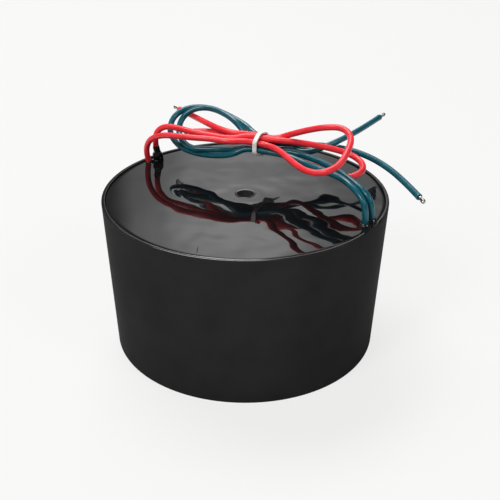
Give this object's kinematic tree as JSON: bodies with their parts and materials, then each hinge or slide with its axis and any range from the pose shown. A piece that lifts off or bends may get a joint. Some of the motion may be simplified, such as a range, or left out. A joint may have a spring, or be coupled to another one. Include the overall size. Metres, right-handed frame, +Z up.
{
  "type": "toroidal transformer",
  "caption": "Toroidal mains transformer potted in a round black cup with a central bolt hole, its coloured stripped leads folded and held by a white cable tie.",
  "frame": {"origin": "centre of the case's flat underside, on the bolt hole's axis", "axes": "+Z up along the bolt hole, out of the potted face; seen from -Y the red leads leave the resin at the back left and the green leads at the front right"},
  "size_m": [0.1187, 0.11, 0.0891],
  "materials": {
    "black_plastic": "satin moulded",
    "black_resin": "glossy cast resin",
    "core_steel": "rolled tape edge",
    "insulating_film": "overlapped film",
    "enamelled_copper": "enamelled copper wire",
    "shrink_sleeve": "shrunk sleeve",
    "red_insulation": "extruded wire insulation",
    "green_insulation": "extruded wire insulation",
    "tinned_copper": "tinned strands",
    "white_nylon": "natural nylon"
  },
  "bodies": {
    "root": {"case": "black_plastic", "potting_compound": "black_resin", "core": "core_steel", "core_insulation": "insulating_film", "primary_winding": "enamelled_copper", "interwinding_insulation": "insulating_film", "secondary_winding": "enamelled_copper", "outer_wrap": "insulating_film", "red_splice_sleeve_1": "shrink_sleeve", "red_splice_sleeve_2": "shrink_sleeve", "green_splice_sleeve_1": "shrink_sleeve", "green_splice_sleeve_2": "shrink_sleeve", "red_winding_end_1": "enamelled_copper", "red_winding_end_2": "enamelled_copper", "green_winding_end_1": "enamelled_copper", "green_winding_end_2": "enamelled_copper", "red_lead_1": "red_insulation", "red_lead_2": "red_insulation", "green_lead_1": "green_insulation", "green_lead_2": "green_insulation", "red_tip_1": "tinned_copper", "red_tip_2": "tinned_copper", "green_tip_1": "tinned_copper", "green_tip_2": "tinned_copper", "cable_tie": "white_nylon"}
  },
  "joints": []
}
